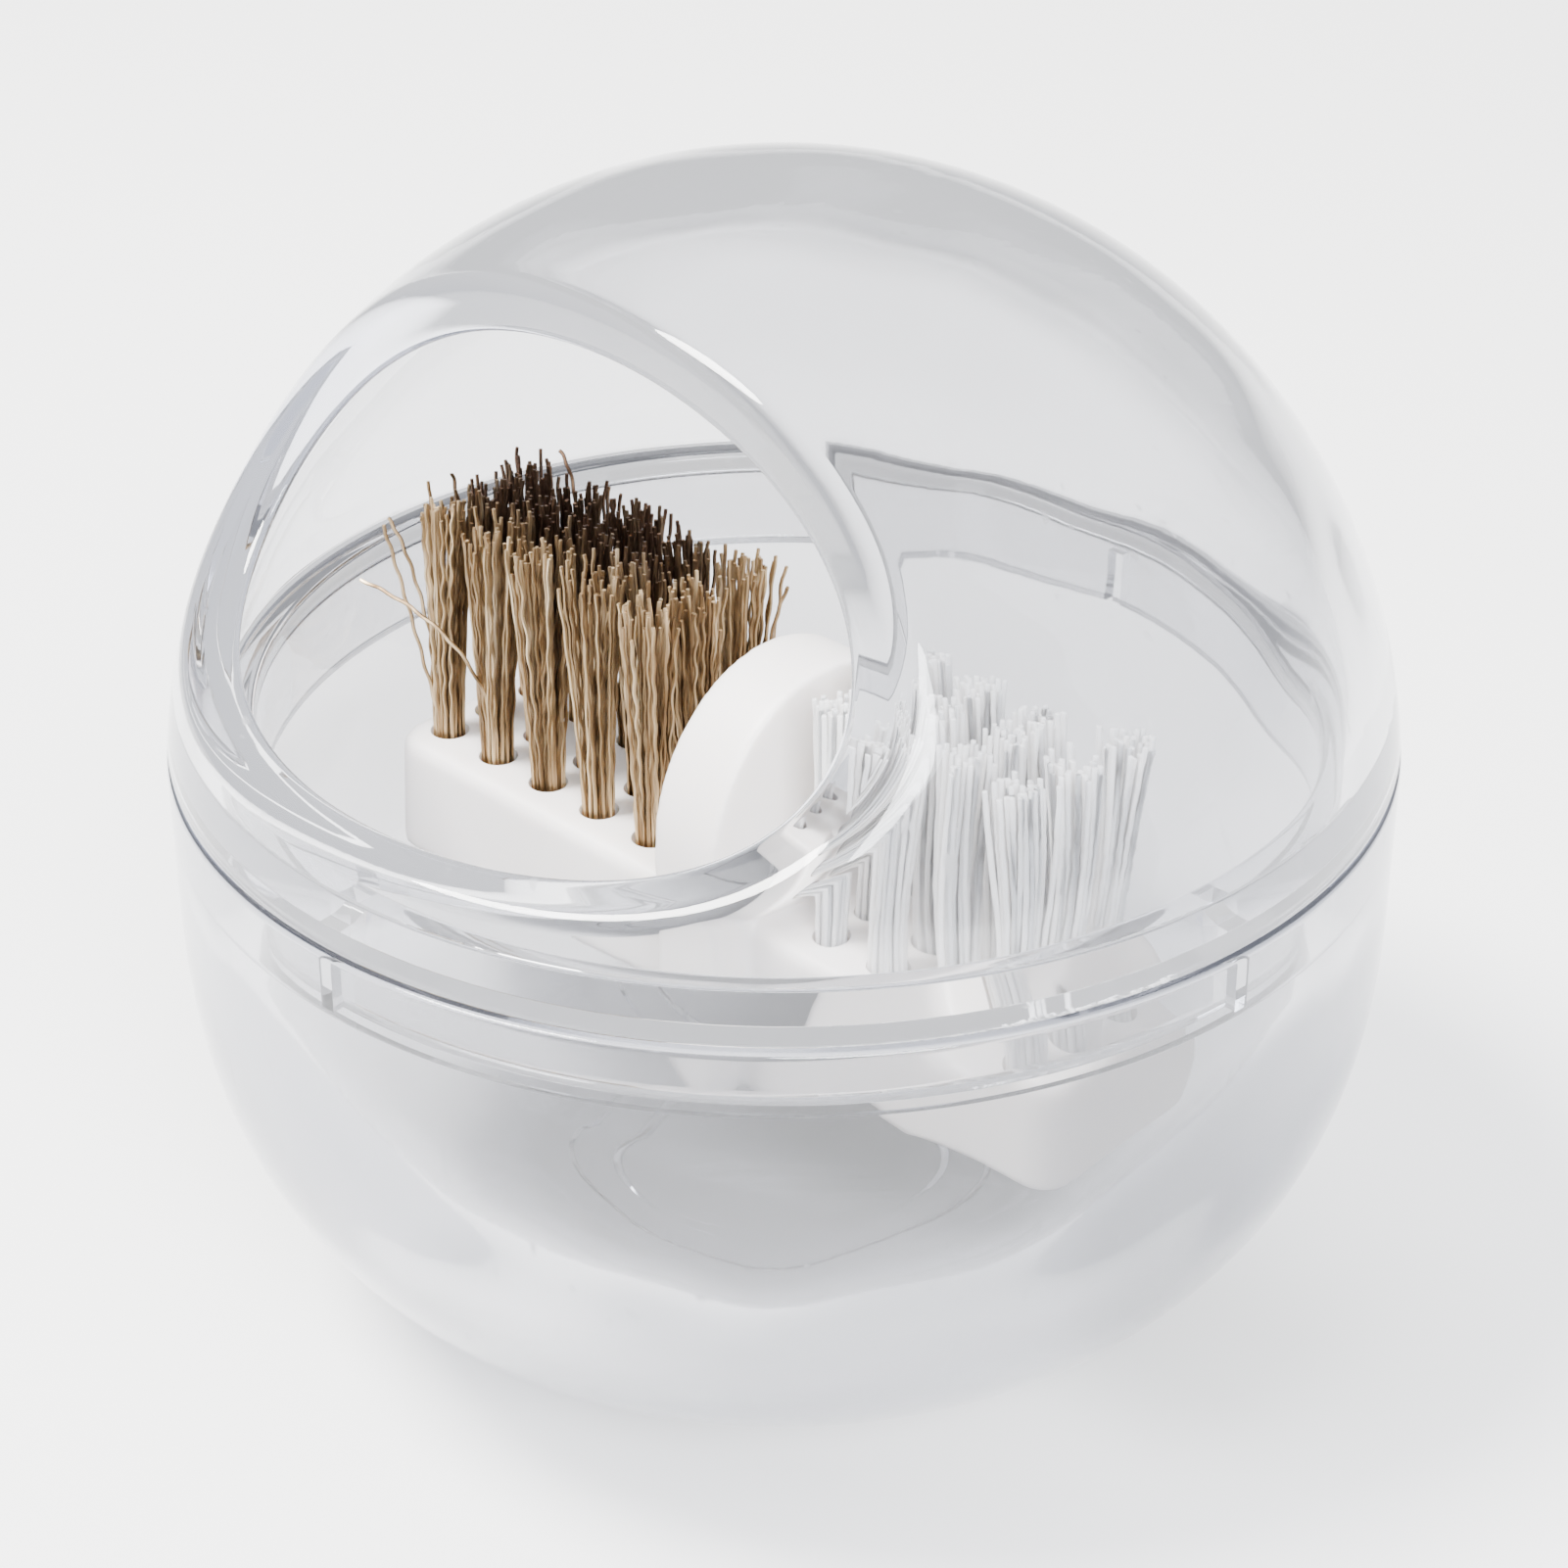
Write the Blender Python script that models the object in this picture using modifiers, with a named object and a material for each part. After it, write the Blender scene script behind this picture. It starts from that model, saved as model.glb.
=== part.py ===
"""Soldering tip cleaning brush in a clear ball box, at real size in metres, +Z up.

The box is a cup and a pull-off dome lid with an opening in its front. In the cup lies a white
holder with an arched grip. Brass wire tufts stand on its -X side and nylon tufts on its +X side,
each folded round a flat metal anchor at the bottom of its hole. The origin is the centre of the
flat foot, and -Y is the front, where the lid's opening is.
"""

import math

import bmesh
import bpy
from mathutils import Matrix, Vector

# Dome lid: a sphere above the seam, and a collar below it that plugs into the cup.
DOME_R = 0.0300
DOME_WALL = 0.0025
DOME_CENTRE_Z = 0.0280
SEAM_Z = 0.0312
COLLAR_R = 0.0271
COLLAR_WALL = 0.0015
COLLAR_BOTTOM_Z = 0.0270
LEDGE_Z = 0.0326
EDGE_BREAK = 0.0003

# The opening is a saddle, cut by a cylinder that runs along X.
OPENING_R = 0.0165
OPENING_Y = -0.0282
OPENING_Z = 0.0525

# Cup: a round bowl inside and a squared bowl outside, so its bottom corner is thick.
CUP_R = 0.0299
CUP_WIDEST_Z = 0.0237
CUP_FLAT_R = 0.0052
CUP_SQUARENESS = 2.48
CUP_INNER_R = 0.0270
CUP_INNER_Z = 0.0254
CUP_FLOOR = 0.0022
SEAT_R = COLLAR_R + 0.0002
SEAT_BOTTOM_Z = 0.0266
RIM_GAP = 0.0003
FOOT_R = 0.0120
FOOT_RING = 0.0024
FOOT_RECESS = 0.0005

# Keys: four ribs in the cup stand in four slots of the collar, so the lid can't turn.
KEY_COUNT = 4
KEY_WIDTH = 0.0007
KEY_DEPTH = 0.0012
SLOT_WIDTH = 0.0013
KEY_GAP = 0.0003

# Brush holder: a block with a flat shelf, and an arched grip across it.
SHELF_Z = 0.0221
BLOCK_LOW_X = -0.0243
BLOCK_HIGH_X = 0.0224
BLOCK_HALF_DEPTH = 0.0055
BLOCK_BOTTOM_Z = 0.0155
BLOCK_DRAFT = 0.0002
BLOCK_CORNER_R = 0.0018
BLOCK_TOP_EDGE = 0.0006
GRIP_THICKNESS = 0.0043
GRIP_X = 0.00075
GRIP_HALF_WIDTH = 0.0077
GRIP_SHOULDER_Z = 0.0256
GRIP_TOP_Z = 0.0342

# Tufts stand in a grid of blind holes, the first column of each side beside the grip.
TUFT_ROWS_Y = (-0.0031, 0.0, 0.0031)
TUFT_FIRST_X = 0.0064
TUFT_PITCH_X = 0.00392
BRASS_COLUMNS = 5
NYLON_COLUMNS = 4
TUFT_ROOT_R = 0.00093
TUFT_BRASS_TIP_R = 0.00140
TUFT_NYLON_TIP_R = 0.00125
TUFT_HEIGHT = 0.0130
TUFT_DEPTH = 0.0050
HOLE_R = 0.0010
HOLE_SPARE_DEPTH = 0.0002

# Anchors: flat wire across each tuft's fold, with its ends in the holder.
ANCHOR_LENGTH = 0.0026
ANCHOR_HEIGHT = 0.0014
ANCHOR_THICKNESS = 0.0003
ANCHOR_FOLD = 0.0006
ANCHOR_GAP = 0.0001

ROUND_STEPS = 48
HOLE_STEPS = 12
ARC_POINTS = 10
MERGE = 0.00001
SHARP_ANGLE = math.radians(35)


def clear_scene():
    for obj in list(bpy.data.objects):
        bpy.data.objects.remove(obj)


def new_collection(name):
    collection = bpy.data.collections.new(name)
    bpy.context.scene.collection.children.link(collection)
    return collection


def new_material(name, colour, roughness, metallic=0.0, transmission=0.0):
    material = bpy.data.materials.new(name)
    material.use_nodes = True
    shader = material.node_tree.nodes["Principled BSDF"]
    shader.inputs["Base Color"].default_value = (*colour, 1.0)
    shader.inputs["Roughness"].default_value = roughness
    shader.inputs["Metallic"].default_value = metallic
    shader.inputs["Transmission Weight"].default_value = transmission
    return material


def add_object(name, mesh, collection, location=(0, 0, 0)):
    obj = bpy.data.objects.new(name, mesh)
    obj.location = location
    collection.objects.link(obj)
    return obj


def add_cutter(name, mesh):
    cutter = add_object(name, mesh, cutters)
    cutter.hide_render = True
    cutter.display_type = "WIRE"
    return cutter


def box_mesh(name, boxes):
    """One mesh of separate boxes, each (centre, size, turn about Z)."""
    bm = bmesh.new()
    for centre, size, turn in boxes:
        place = (
            Matrix.Rotation(turn, 4, "Z")
            @ Matrix.Translation(centre)
            @ Matrix.Diagonal((*size, 1.0))
        )
        bmesh.ops.create_cube(bm, size=1.0, matrix=place)
    mesh = bpy.data.meshes.new(name)
    bm.to_mesh(mesh)
    bm.free()
    return mesh


def arc(radius, centre_z, start_z, end_z, points=ARC_POINTS):
    """Profile points (r, z) on a circle centred on the axis, from one height to another."""
    start = math.asin((start_z - centre_z) / radius)
    end = math.asin((end_z - centre_z) / radius)
    angles = [start + (end - start) * i / points for i in range(points + 1)]
    return [(radius * math.cos(a), centre_z + radius * math.sin(a)) for a in angles]


def bowl(points=ARC_POINTS):
    """Profile points (r, z) of the cup's outside, a squared quarter curve down to its foot."""
    power = 2 / CUP_SQUARENESS
    width = CUP_R - CUP_FLAT_R
    last = math.acos(((FOOT_R - CUP_FLAT_R) / width) ** (1 / power))
    profile = []
    for i in range(points + 1):
        angle = last * i / points
        r = CUP_FLAT_R + width * math.cos(angle) ** power
        profile.append((r, CUP_WIDEST_Z * (1 - math.sin(angle) ** power)))
    return profile


def turned(name, profile, collection, steps=ROUND_STEPS):
    """An object whose profile of (r, z) points is turned about Z by a Screw modifier."""
    mesh = bpy.data.meshes.new(name)
    edges = [(i, i + 1) for i in range(len(profile) - 1)]
    mesh.from_pydata([(r, 0.0, z) for r, z in profile], edges, [])
    obj = add_object(name, mesh, collection)
    screw = obj.modifiers.new("turn", "SCREW")
    screw.steps = steps
    screw.render_steps = steps
    screw.use_merge_vertices = True
    screw.merge_threshold = MERGE
    return obj


def add_boolean(obj, operation, other):
    boolean = obj.modifiers.new(other.name, "BOOLEAN")
    boolean.operation = operation
    boolean.object = other


def baked_mesh(obj):
    """The object's mesh with its modifiers applied, shaded smooth between its sharp edges."""
    bpy.context.view_layer.update()
    graph = bpy.context.evaluated_depsgraph_get()
    mesh = bpy.data.meshes.new_from_object(obj.evaluated_get(graph))
    mesh.name = obj.name
    mesh.shade_smooth()
    mesh.set_sharp_from_angle(angle=SHARP_ANGLE)
    return mesh


def finish(obj, material):
    mesh = baked_mesh(obj)
    obj.modifiers.clear()
    obj.data = mesh
    mesh.materials.clear()
    mesh.materials.append(material)


def dome_profile():
    inner_r = DOME_R - DOME_WALL
    collar_inner_r = COLLAR_R - COLLAR_WALL
    outside = arc(DOME_R, DOME_CENTRE_Z, DOME_CENTRE_Z + DOME_R, SEAM_Z)
    inside = arc(inner_r, DOME_CENTRE_Z, LEDGE_Z, DOME_CENTRE_Z + inner_r)
    outside[0] = (0.0, DOME_CENTRE_Z + DOME_R)
    inside[-1] = (0.0, DOME_CENTRE_Z + inner_r)
    collar = [
        (COLLAR_R, SEAM_Z),
        (COLLAR_R, COLLAR_BOTTOM_Z + EDGE_BREAK),
        (COLLAR_R - EDGE_BREAK, COLLAR_BOTTOM_Z),
        (collar_inner_r, COLLAR_BOTTOM_Z),
        (collar_inner_r, LEDGE_Z),
    ]
    return outside + collar + inside


def make_dome_lid(parts, material):
    dome = turned("dome_lid", dome_profile(), parts)
    opening = bmesh.new()
    place = Matrix.Translation((0, OPENING_Y, OPENING_Z)) @ Matrix.Rotation(math.pi / 2, 4, "Y")
    bmesh.ops.create_cone(
        opening,
        cap_ends=True,
        segments=ROUND_STEPS,
        radius1=OPENING_R,
        radius2=OPENING_R,
        depth=3 * DOME_R,
        matrix=place,
    )
    mesh = bpy.data.meshes.new("lid_opening_cutter")
    opening.to_mesh(mesh)
    opening.free()
    add_boolean(dome, "DIFFERENCE", add_cutter("lid_opening_cutter", mesh))

    slot_top = SEAM_Z - KEY_GAP
    slot_bottom = COLLAR_BOTTOM_Z - KEY_DEPTH
    centre = (COLLAR_R - COLLAR_WALL / 2, 0, (slot_top + slot_bottom) / 2)
    size = (2 * COLLAR_WALL, SLOT_WIDTH, slot_top - slot_bottom)
    slots = box_mesh("collar_slot_cutter", [(centre, size, turn) for turn in key_turns()])
    add_boolean(dome, "DIFFERENCE", add_cutter("collar_slot_cutter", slots))
    finish(dome, material)


def key_turns():
    return [2 * math.pi * i / KEY_COUNT for i in range(KEY_COUNT)]


def cup_profile():
    rim_z = SEAM_Z - RIM_GAP
    inside = arc(CUP_INNER_R, CUP_INNER_Z, CUP_FLOOR, SEAT_BOTTOM_Z)
    rim = [
        (SEAT_R, SEAT_BOTTOM_Z),
        (SEAT_R, rim_z - EDGE_BREAK),
        (SEAT_R + EDGE_BREAK, rim_z),
        (CUP_R - EDGE_BREAK, rim_z),
        (CUP_R, rim_z - EDGE_BREAK),
    ]
    foot = [
        (FOOT_R - EDGE_BREAK, 0.0),
        (FOOT_R - FOOT_RING, 0.0),
        (FOOT_R - FOOT_RING - FOOT_RECESS, FOOT_RECESS),
        (0.0, FOOT_RECESS),
    ]
    return [(0.0, CUP_FLOOR)] + inside + rim + bowl(2 * ARC_POINTS) + foot


def make_cup(parts, material):
    cup = turned("cup", cup_profile(), parts)
    rib_bottom = SEAT_BOTTOM_Z + KEY_GAP
    rib_top = SEAM_Z - 2 * KEY_GAP
    low_r = SEAT_R - KEY_DEPTH
    high_r = (SEAT_R + CUP_R) / 2
    centre = ((low_r + high_r) / 2, 0, (rib_bottom + rib_top) / 2)
    size = (high_r - low_r, KEY_WIDTH, rib_top - rib_bottom)
    ribs = box_mesh("cup_rib_shape", [(centre, size, turn) for turn in key_turns()])
    add_boolean(cup, "UNION", add_cutter("cup_rib_shape", ribs))
    finish(cup, material)


def block_mesh():
    """The holder's block: wider at the bottom by its draft, with rounded corners and top edge."""
    height = SHELF_Z - BLOCK_BOTTOM_Z
    middle = Vector(((BLOCK_LOW_X + BLOCK_HIGH_X) / 2, 0, (SHELF_Z + BLOCK_BOTTOM_Z) / 2))
    half_length = (BLOCK_HIGH_X - BLOCK_LOW_X) / 2
    bm = bmesh.new()
    size = (2 * half_length, 2 * BLOCK_HALF_DEPTH, height)
    place = Matrix.Translation(middle) @ Matrix.Diagonal((*size, 1.0))
    bmesh.ops.create_cube(bm, size=1.0, matrix=place)
    for vert in bm.verts:
        if vert.co.z < middle.z:
            vert.co.x += math.copysign(BLOCK_DRAFT, vert.co.x - middle.x)
            vert.co.y += math.copysign(BLOCK_DRAFT, vert.co.y)
    upright = [e for e in bm.edges if abs(e.verts[0].co.z - e.verts[1].co.z) > height / 2]
    bmesh.ops.bevel(
        bm, geom=upright, offset=BLOCK_CORNER_R, segments=4, profile=0.5, affect="EDGES"
    )
    top = [e for e in bm.edges if min(v.co.z for v in e.verts) > SHELF_Z - MERGE]
    bmesh.ops.bevel(bm, geom=top, offset=BLOCK_TOP_EDGE, segments=2, profile=0.5, affect="EDGES")
    mesh = bpy.data.meshes.new("brush_holder")
    bm.to_mesh(mesh)
    bm.free()
    return mesh


def grip_mesh():
    """The arched grip: a flat outline in YZ, half an ellipse on straight sides, extruded in X."""
    arch = []
    for i in range(2 * ARC_POINTS + 1):
        angle = math.pi * i / (2 * ARC_POINTS)
        rise = GRIP_TOP_Z - GRIP_SHOULDER_Z
        arch.append((GRIP_HALF_WIDTH * math.cos(angle), GRIP_SHOULDER_Z + rise * math.sin(angle)))
    outline = [(GRIP_HALF_WIDTH, BLOCK_BOTTOM_Z)] + arch + [(-GRIP_HALF_WIDTH, BLOCK_BOTTOM_Z)]
    curve = bpy.data.curves.new("grip_outline", "CURVE")
    curve.dimensions = "2D"
    curve.fill_mode = "BOTH"
    curve.extrude = GRIP_THICKNESS / 2
    spline = curve.splines.new("POLY")
    spline.points.add(len(outline) - 1)
    spline.use_cyclic_u = True
    for point, (across, up) in zip(spline.points, outline):
        point.co = (across, up, 0.0, 1.0)
    plate = add_object("grip_outline", curve, cutters)
    mesh = baked_mesh(plate)
    bpy.data.objects.remove(plate)
    bm = bmesh.new()
    bm.from_mesh(mesh)
    bmesh.ops.remove_doubles(bm, verts=bm.verts, dist=MERGE)
    upright = Matrix(((0, 0, 1, 0), (1, 0, 0, 0), (0, 1, 0, 0), (0, 0, 0, 1)))
    place = Matrix.Translation((GRIP_X, 0, 0)) @ upright
    bmesh.ops.transform(bm, matrix=place, verts=bm.verts)
    bm.to_mesh(mesh)
    bm.free()
    return mesh


def tuft_places():
    """(kind, column, row, x, y) of every tuft, the columns counted outwards from the grip."""
    places = []
    for kind, side, columns in (("brass", -1, BRASS_COLUMNS), ("nylon", 1, NYLON_COLUMNS)):
        for column in range(columns):
            x = side * (TUFT_FIRST_X + column * TUFT_PITCH_X)
            for row, y in enumerate(TUFT_ROWS_Y):
                places.append((kind, column + 1, row + 1, x, y))
    return places


def anchor_centre_z():
    return SHELF_Z - TUFT_DEPTH + ANCHOR_FOLD + ANCHOR_GAP + ANCHOR_HEIGHT / 2


def hole_mesh():
    bottom = SHELF_Z - TUFT_DEPTH - HOLE_SPARE_DEPTH
    top = SHELF_Z + HOLE_R
    bm = bmesh.new()
    for *_, x, y in tuft_places():
        bmesh.ops.create_cone(
            bm,
            cap_ends=True,
            segments=HOLE_STEPS,
            radius1=HOLE_R,
            radius2=HOLE_R,
            depth=top - bottom,
            matrix=Matrix.Translation((x, y, (top + bottom) / 2)),
        )
    mesh = bpy.data.meshes.new("tuft_hole_cutter")
    bm.to_mesh(mesh)
    bm.free()
    return mesh


def make_holder(parts, material):
    holder = add_object("brush_holder", block_mesh(), parts)
    add_boolean(holder, "UNION", add_cutter("grip_shape", grip_mesh()))
    add_boolean(holder, "DIFFERENCE", add_cutter("tuft_hole_cutter", hole_mesh()))
    size = (
        ANCHOR_LENGTH + 2 * ANCHOR_GAP,
        ANCHOR_THICKNESS + 2 * ANCHOR_GAP,
        ANCHOR_HEIGHT + 2 * ANCHOR_GAP,
    )
    notches = [((x, y, anchor_centre_z()), size, 0.0) for *_, x, y in tuft_places()]
    cutter = add_cutter("anchor_notch_cutter", box_mesh("anchor_notch_cutter", notches))
    add_boolean(holder, "DIFFERENCE", cutter)
    finish(holder, material)


def tuft_mesh(kind, tip_r, material):
    """A tuft as one solid: straight in its hole, spreading above it, with a window for its anchor."""
    belly_r = TUFT_ROOT_R + 0.4 * (tip_r - TUFT_ROOT_R)
    profile = [
        (0.0, TUFT_HEIGHT),
        (tip_r, TUFT_HEIGHT),
        (belly_r, TUFT_HEIGHT / 2),
        (TUFT_ROOT_R, 0.0),
        (TUFT_ROOT_R, -TUFT_DEPTH),
        (0.0, -TUFT_DEPTH),
    ]
    tuft = turned(f"{kind}_tuft_shape", profile, cutters, HOLE_STEPS)
    size = (
        4 * TUFT_ROOT_R,
        ANCHOR_THICKNESS + 2 * ANCHOR_GAP,
        ANCHOR_HEIGHT + 2 * ANCHOR_GAP,
    )
    window = box_mesh("window", [((0, 0, anchor_centre_z() - SHELF_Z), size, 0.0)])
    add_boolean(tuft, "DIFFERENCE", add_cutter(f"{kind}_window_cutter", window))
    mesh = baked_mesh(tuft)
    mesh.materials.clear()
    mesh.materials.append(material)
    bpy.data.objects.remove(tuft)
    return mesh


def make_tufts(parts, brass, nylon, steel):
    tufts = {
        "brass": tuft_mesh("brass", TUFT_BRASS_TIP_R, brass),
        "nylon": tuft_mesh("nylon", TUFT_NYLON_TIP_R, nylon),
    }
    size = (ANCHOR_LENGTH, ANCHOR_THICKNESS, ANCHOR_HEIGHT)
    anchor = box_mesh("anchor", [((0, 0, 0), size, 0.0)])
    anchor.materials.append(steel)
    for kind, column, row, x, y in tuft_places():
        place = f"{kind}_c{column}_r{row}"
        add_object(f"tuft_{place}", tufts[kind], parts, (x, y, SHELF_Z))
        add_object(f"anchor_{place}", anchor, parts, (x, y, anchor_centre_z()))


clear_scene()
parts = new_collection("tip_cleaning_brush")
cutters = new_collection("cutters")
clear_plastic = new_material("clear_plastic", (0.92, 0.93, 0.95), 0.05, transmission=1.0)
white_plastic = new_material("white_plastic", (0.86, 0.84, 0.82), 0.35)
brass_wire = new_material("brass_wire", (0.62, 0.46, 0.24), 0.35, metallic=1.0)
nylon_bristle = new_material("nylon_bristle", (0.85, 0.84, 0.80), 0.45)
anchor_steel = new_material("anchor_steel", (0.60, 0.60, 0.58), 0.35, metallic=1.0)
make_cup(parts, clear_plastic)
make_dome_lid(parts, clear_plastic)
make_holder(parts, white_plastic)
make_tufts(parts, brass_wire, nylon_bristle, anchor_steel)
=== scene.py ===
"""Looks of the tip cleaning brush: a clear ball box, a white brush holder, brass and nylon tufts.

Lengths are in metres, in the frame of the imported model. -X is the brass side and -Y the front.
"""

import math
import bmesh
import bpy
import numpy as np
from mathutils import Matrix, Vector


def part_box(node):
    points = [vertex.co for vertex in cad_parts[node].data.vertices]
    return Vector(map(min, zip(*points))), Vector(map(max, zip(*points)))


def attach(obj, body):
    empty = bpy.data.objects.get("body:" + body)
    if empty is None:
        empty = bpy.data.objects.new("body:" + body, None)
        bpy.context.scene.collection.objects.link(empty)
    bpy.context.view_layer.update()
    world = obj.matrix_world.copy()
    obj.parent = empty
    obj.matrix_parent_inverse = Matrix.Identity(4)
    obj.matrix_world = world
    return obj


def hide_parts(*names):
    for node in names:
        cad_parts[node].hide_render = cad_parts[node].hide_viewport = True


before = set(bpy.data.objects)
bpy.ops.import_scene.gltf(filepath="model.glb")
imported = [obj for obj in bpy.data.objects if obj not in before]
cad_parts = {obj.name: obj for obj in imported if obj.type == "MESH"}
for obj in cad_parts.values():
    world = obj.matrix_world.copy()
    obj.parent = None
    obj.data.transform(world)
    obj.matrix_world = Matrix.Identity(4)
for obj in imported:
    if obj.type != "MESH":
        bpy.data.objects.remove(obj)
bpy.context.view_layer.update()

dome_low, dome_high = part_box("dome_lid")
cup_low, cup_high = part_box("cup")
holder_low, holder_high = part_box("brush_holder")

# Lid.
DOME_R = 0.0300
DOME_WALL = 0.0025
DOME_CENTRE_Z = dome_high.z - DOME_R
SEAM_GAP = 0.0003
SEAM_Z = cup_high.z + SEAM_GAP
LEDGE_Z = SEAM_Z + 0.0014
COLLAR_R = 0.0271
COLLAR_INNER_R = 0.0256
COLLAR_BOTTOM_Z = dome_low.z
OPENING_R = 0.0165
OPENING_Y = -0.0282
OPENING_Z = 0.0525
LIP_ROUND = 0.0010
LIP_STEPS = 9

# Cup.
CUP_R = cup_high.x
CUP_WIDEST_Z = 0.0237
CUP_FLAT_R = 0.0052
CUP_SQUARENESS = 2.48
CUP_INNER_R = 0.0270
CUP_INNER_Z = 0.0254
CUP_FLOOR_Z = 0.0022
SEAT_R = 0.0273
SEAT_BOTTOM_Z = 0.0266
FOOT_R = 0.0120
FOOT_RING = 0.0024
FOOT_RECESS = 0.0005
KEY_COUNT = 4
KEY_WIDTH = 0.0007
KEY_LOW_R = 0.0261
KEY_GAP = 0.0003
SLOT_WIDTH = 0.0013
CRISP = 0.00002
RIPPLE = 0.000018

# Brush.
SHELF_Z = 0.0221
BLOCK_DRAFT = 0.0002
BLOCK_CORNER_R = 0.0020
BLOCK_LOW_X = holder_low.x + BLOCK_DRAFT
BLOCK_HIGH_X = holder_high.x - BLOCK_DRAFT
BLOCK_HALF_DEPTH = 0.0055
BLOCK_TOP_ROUND = 0.0007
GRIP_LOW_X = -0.0014
GRIP_HIGH_X = 0.0029
GRIP_ROUND = 0.0008
GRIP_SHOULDER_Z = 0.0256
HOLDER_VOXEL = 0.00022
HOLDER_SMOOTHING = 16
HOLE_R = 0.00104
TUFT_ROOT_R = 0.00082
TUFT_HEIGHT = 0.0130
WIRE_R = 0.00010
WIRE_SIDES = 5
BRISTLE_R = 0.00013
BRISTLE_SIDES = 6
WIRE_START = -0.0024
HOLE_CUT_DEPTH = 0.0060
BRASS_TUFT = {"count": 44, "spread": 1.85, "crimp": 0.000055, "ragged": 0.0005, "points": 44}
NYLON_TUFT = {"count": 34, "spread": 1.35, "crimp": 0.00002, "ragged": 0.00025, "points": 16}
TUFT_LEAN = 0.00028
TIP_SCATTER = 0.00024
ROOT_SCATTER = 0.00003
STRAY_POINTS = 48
STRAY_SIDES = 6
STRAY_CRIMP = 0.00005
STRAY_WAVES = 38
MM = 0.001

# Stage.
CAMERA_DISTANCE = 0.180
CAMERA_AZIMUTH_DEG = 45
CAMERA_ELEVATION_DEG = 30
CAMERA_LENS_MM = 83.8
CAMERA_AIM_DROP = 0.0014
FLOOR_GAP = 0.00005
FLOOR_HALF_WIDTH = 1.5

# Meshes.
GRID_COLUMNS = 384
DOME_ROWS = 92
CUP_ROWS = 84
MERGE = 0.000001
SHARP_ANGLE = math.radians(38)
rng = np.random.default_rng(7)


# ---------------------------------------------------------------- meshes


def mesh_object(name, vertices, faces, material_of_face=None):
    """A mesh object with its faces turned outwards, smooth between its sharp edges."""
    mesh = bpy.data.meshes.new(name)
    mesh.from_pydata(np.asarray(vertices).tolist(), [], faces)
    bm = bmesh.new()
    bm.from_mesh(mesh)
    if bm.calc_volume(signed=True) < 0:
        bmesh.ops.reverse_faces(bm, faces=bm.faces)
    bm.to_mesh(mesh)
    bm.free()
    if material_of_face is not None:
        mesh.polygons.foreach_set("material_index", np.asarray(material_of_face, np.int32))
    mesh.shade_smooth()
    mesh.set_sharp_from_angle(angle=SHARP_ANGLE)
    obj = bpy.data.objects.new(name, mesh)
    bpy.context.scene.collection.objects.link(obj)
    return obj


def grid_faces(rows, columns, closed_rows):
    """Quads of a grid whose columns run all the way round, and whose rows may too."""
    faces = []
    for i in range(rows if closed_rows else rows - 1):
        here = i * columns
        after = ((i + 1) % rows) * columns
        for j in range(columns):
            k = (j + 1) % columns
            faces.append((here + j, here + k, after + k, after + j))
    return faces


def rounded(profile, steps=5):
    """(r, z, fillet) points with each fillet as a short curve; a fillet of 0 keeps the point."""
    points = []
    for i, (r, z, fillet) in enumerate(profile):
        if fillet == 0:
            points.append((r, z))
            continue
        corner = np.array((r, z))
        before = np.array(profile[i - 1][:2])
        after = np.array(profile[i + 1][:2])
        start = corner + fillet * (before - corner) / np.linalg.norm(before - corner)
        end = corner + fillet * (after - corner) / np.linalg.norm(after - corner)
        for t in np.linspace(0, 1, steps):
            points.append(tuple((1 - t) ** 2 * start + 2 * t * (1 - t) * corner + t**2 * end))
    return points


def round_bowl():
    """(r, z, 0) points up the cup's round inside, from its floor to its widest circle."""
    start = math.asin((CUP_FLOOR_Z + 0.0005 - CUP_INNER_Z) / CUP_INNER_R)
    angles = np.linspace(start, 0, CUP_ROWS)
    rise = [(CUP_INNER_R * math.cos(a), CUP_INNER_Z + CUP_INNER_R * math.sin(a), 0) for a in angles]
    return rise + [(CUP_INNER_R, SEAT_BOTTOM_Z, 0)]


def squared_bowl():
    """(r, z, 0) points down the cup's squared outside, from its widest circle to its foot."""
    power = 2 / CUP_SQUARENESS
    width = CUP_R - CUP_FLAT_R
    last = math.acos(((FOOT_R - CUP_FLAT_R) / width) ** (1 / power))
    points = []
    for angle in last * np.linspace(0, 1, CUP_ROWS) ** 1.4:
        r = CUP_FLAT_R + width * math.cos(angle) ** power
        points.append((r, CUP_WIDEST_Z * (1 - math.sin(angle) ** power), 0))
    return points


def column_angles(key_half_width, key_r):
    """Azimuths round the ball, with a close pair of columns at each edge of each key."""
    angles = list(np.linspace(0, 2 * math.pi, GRID_COLUMNS, endpoint=False))
    for i in range(KEY_COUNT):
        centre = 2 * math.pi * i / KEY_COUNT
        for edge in (-key_half_width, key_half_width):
            at = centre + edge / key_r
            angles = [a for a in angles if abs((a - at + math.pi) % (2 * math.pi) - math.pi) > 0.004]
            angles += [at - CRISP / key_r, at + CRISP / key_r]
    return np.sort(np.mod(angles, 2 * math.pi))


def in_key(angles, key_half_width, key_r):
    turn = 2 * math.pi / KEY_COUNT
    from_key = np.abs((angles + turn / 2) % turn - turn / 2)
    return from_key * key_r < key_half_width


def ripple(directions):
    """The slight waviness of a moulded inner surface, as a radial offset."""
    waves = ((14, 5, 9, 0.3), (-6, 17, 8, 1.7), (11, -12, 15, 4.1), (19, 9, -13, 2.6))
    total = sum(np.sin(directions @ np.array(w[:3]) + w[3]) for w in waves)
    return RIPPLE * total


def unit(vectors):
    return vectors / np.linalg.norm(vectors, axis=-1, keepdims=True)


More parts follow.
